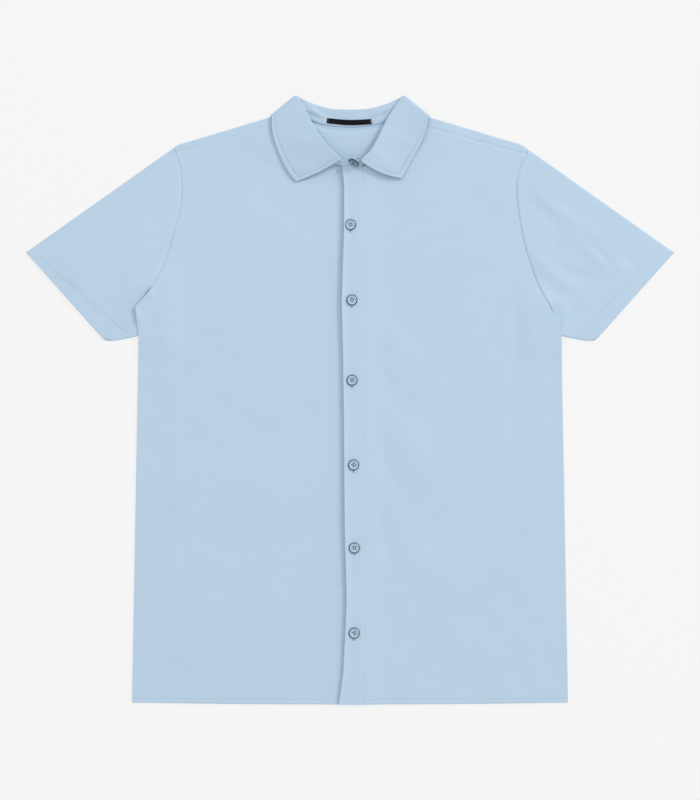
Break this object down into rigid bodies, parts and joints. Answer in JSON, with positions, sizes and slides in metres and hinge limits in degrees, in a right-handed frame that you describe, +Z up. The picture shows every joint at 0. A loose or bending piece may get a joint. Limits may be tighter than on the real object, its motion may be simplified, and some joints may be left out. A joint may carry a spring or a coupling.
{
  "type": "collared short-sleeve button-front shirt",
  "caption": "Collared short-sleeve knit shirt, buttoned up and laid flat on its back, with a turned-down collar and a straight hem.",
  "frame": {"origin": "on the surface that the shirt lies on, under the middle of its outline", "axes": "+X to the wearer's left side, +Y from the hem to the collar, +Z up out of the front"},
  "size_m": [0.8106, 0.7621, 0.0221],
  "materials": {
    "knit": "fine cotton knit, light blue, matt",
    "label": "woven black tape, plain",
    "button": "polished polyester button, pale blue"
  },
  "bodies": {
    "root": {"back": "knit", "front_right": "knit", "front_left": "knit", "sleeve_right": "knit", "sleeve_left": "knit", "under_placket": "knit", "placket": "knit", "collar_fall": "knit", "collar_stand": "knit", "neck_label": "label", "button_1": "button", "button_2": "button", "button_3": "button", "button_4": "button", "button_5": "button", "button_6": "button", "button_7": "button"}
  },
  "joints": []
}
